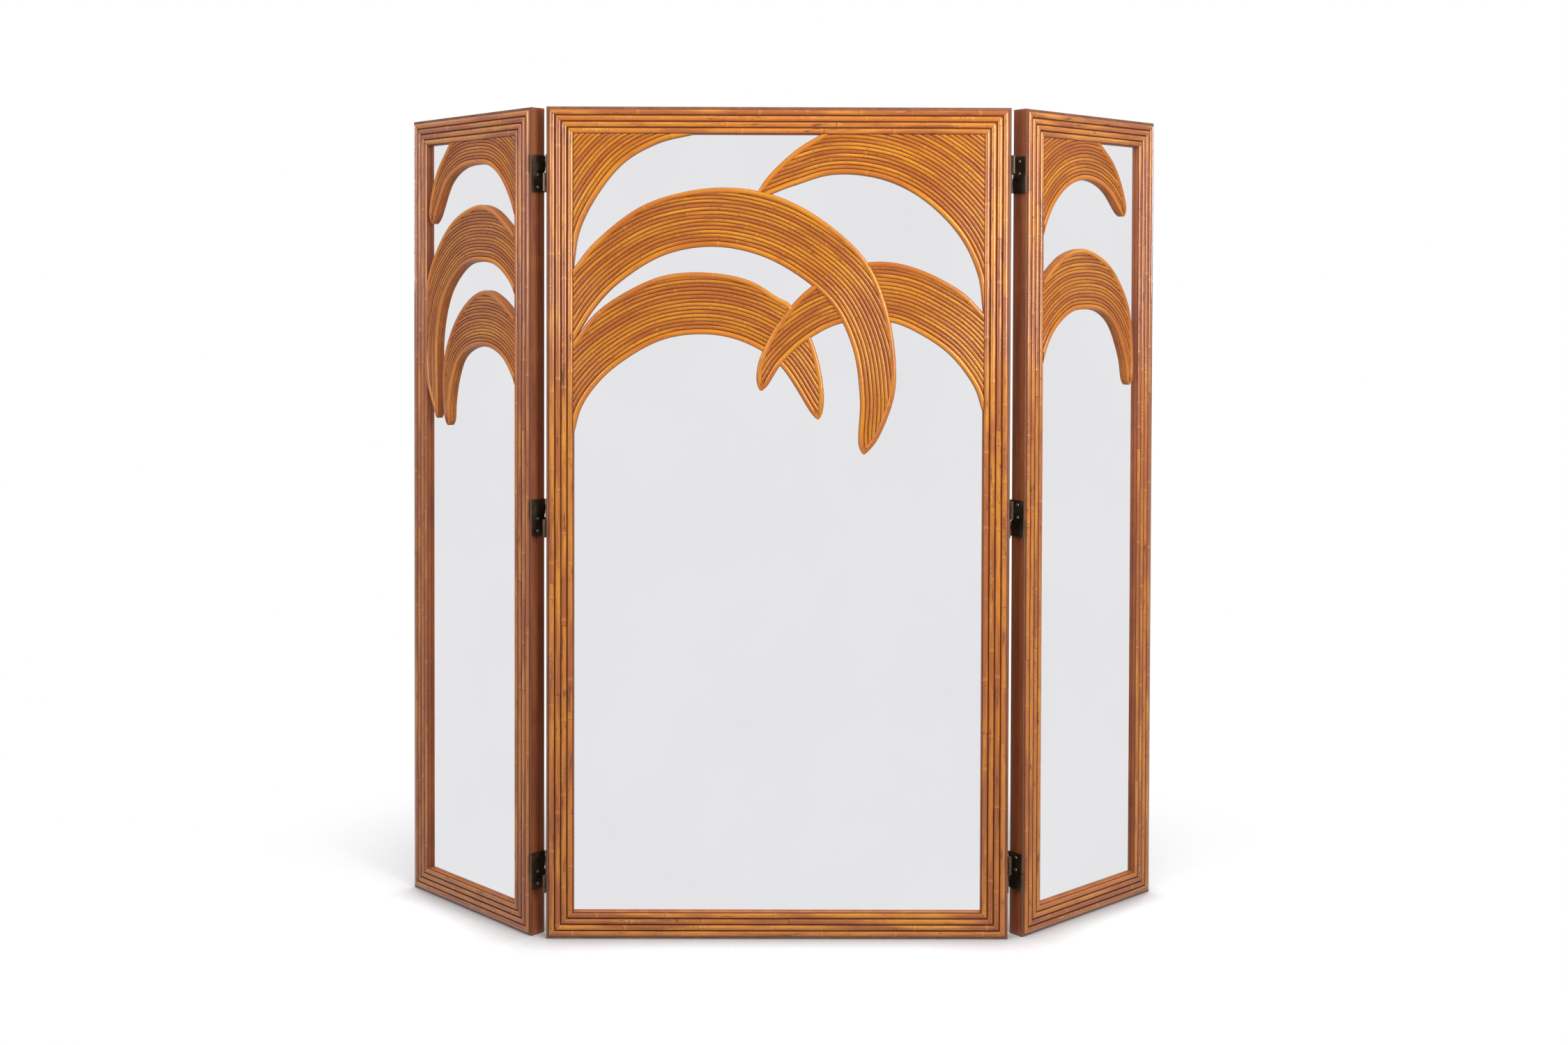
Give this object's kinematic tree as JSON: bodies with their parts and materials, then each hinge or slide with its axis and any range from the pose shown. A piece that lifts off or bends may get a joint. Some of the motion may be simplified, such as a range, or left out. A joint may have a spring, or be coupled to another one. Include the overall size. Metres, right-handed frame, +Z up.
{
  "type": "folding screen",
  "caption": "Folding screen of a wide panel and narrower wings, each a cane-faced frame round a tall mirror with arched palm fronds over it, on two-way hinges.",
  "frame": {"origin": "middle of the centre panel's foot, halfway through the depth of its wooden core", "axes": "+Z up, the fronts of the panels face -Y and the wings fold back towards +Y, +X to the right of someone who looks at the front"},
  "size_m": [1.7268, 0.3619, 1.8],
  "materials": {
    "stained_wood": "stained and lacquered, satin",
    "split_cane": "split cane, honey brown, satin lacquer",
    "frond_cane": "split cane, golden brown, satin lacquer",
    "mirror_glass": "silvered glass",
    "plywood_back": "stained plywood, matt",
    "dark_bronze": "aged bronze plating, worn at the edges"
  },
  "bodies": {
    "centre_panel": {"centre_back_board": "plywood_back", "centre_bottom_rail": "stained_wood", "centre_cane_facing": "split_cane", "centre_frond_low_left": "frond_cane", "centre_frond_low_left_tip": "frond_cane", "centre_frond_low_right": "frond_cane", "centre_frond_low_right_tip": "frond_cane", "centre_frond_main": "frond_cane", "centre_frond_top_left": "frond_cane", "centre_frond_top_right": "frond_cane", "centre_left_stile": "stained_wood", "centre_mirror": "mirror_glass", "centre_right_stile": "stained_wood", "centre_top_rail": "stained_wood", "left_bottom_hinge_centre_flap": "dark_bronze", "left_bottom_hinge_centre_leaf": "dark_bronze", "left_middle_hinge_centre_flap": "dark_bronze", "left_middle_hinge_centre_leaf": "dark_bronze", "left_top_hinge_centre_flap": "dark_bronze", "left_top_hinge_centre_leaf": "dark_bronze", "right_bottom_hinge_centre_flap": "dark_bronze", "right_bottom_hinge_centre_leaf": "dark_bronze", "right_middle_hinge_centre_flap": "dark_bronze", "right_middle_hinge_centre_leaf": "dark_bronze", "right_top_hinge_centre_flap": "dark_bronze", "right_top_hinge_centre_leaf": "dark_bronze"},
    "left_wing": {"left_bottom_hinge_wing_flap": "dark_bronze", "left_bottom_hinge_wing_leaf": "dark_bronze", "left_middle_hinge_wing_flap": "dark_bronze", "left_middle_hinge_wing_leaf": "dark_bronze", "left_top_hinge_wing_flap": "dark_bronze", "left_top_hinge_wing_leaf": "dark_bronze", "left_wing_back_board": "plywood_back", "left_wing_bottom_rail": "stained_wood", "left_wing_cane_facing": "split_cane", "left_wing_frond_high": "frond_cane", "left_wing_frond_low": "frond_cane", "left_wing_frond_middle": "frond_cane", "left_wing_hinge_stile": "stained_wood", "left_wing_mirror": "mirror_glass", "left_wing_outer_stile": "stained_wood", "left_wing_top_rail": "stained_wood"},
    "right_wing": {"right_bottom_hinge_wing_flap": "dark_bronze", "right_bottom_hinge_wing_leaf": "dark_bronze", "right_middle_hinge_wing_flap": "dark_bronze", "right_middle_hinge_wing_leaf": "dark_bronze", "right_top_hinge_wing_flap": "dark_bronze", "right_top_hinge_wing_leaf": "dark_bronze", "right_wing_back_board": "plywood_back", "right_wing_bottom_rail": "stained_wood", "right_wing_cane_facing": "split_cane", "right_wing_frond_high": "frond_cane", "right_wing_frond_low": "frond_cane", "right_wing_hinge_stile": "stained_wood", "right_wing_mirror": "mirror_glass", "right_wing_outer_stile": "stained_wood", "right_wing_top_rail": "stained_wood"}
  },
  "joints": [
    {"name": "left_fold", "type": "hinge", "parent": "centre_panel", "child": "left_wing", "pos_m": [-0.5044, 0.0208, 0.912], "axis": [0, 0, -1], "range_deg": [-44.7, 134]},
    {"name": "right_fold", "type": "hinge", "parent": "centre_panel", "child": "right_wing", "pos_m": [0.5044, 0.0208, 0.912], "axis": [0, 0, 1], "range_deg": [-41, 138]}
  ]
}
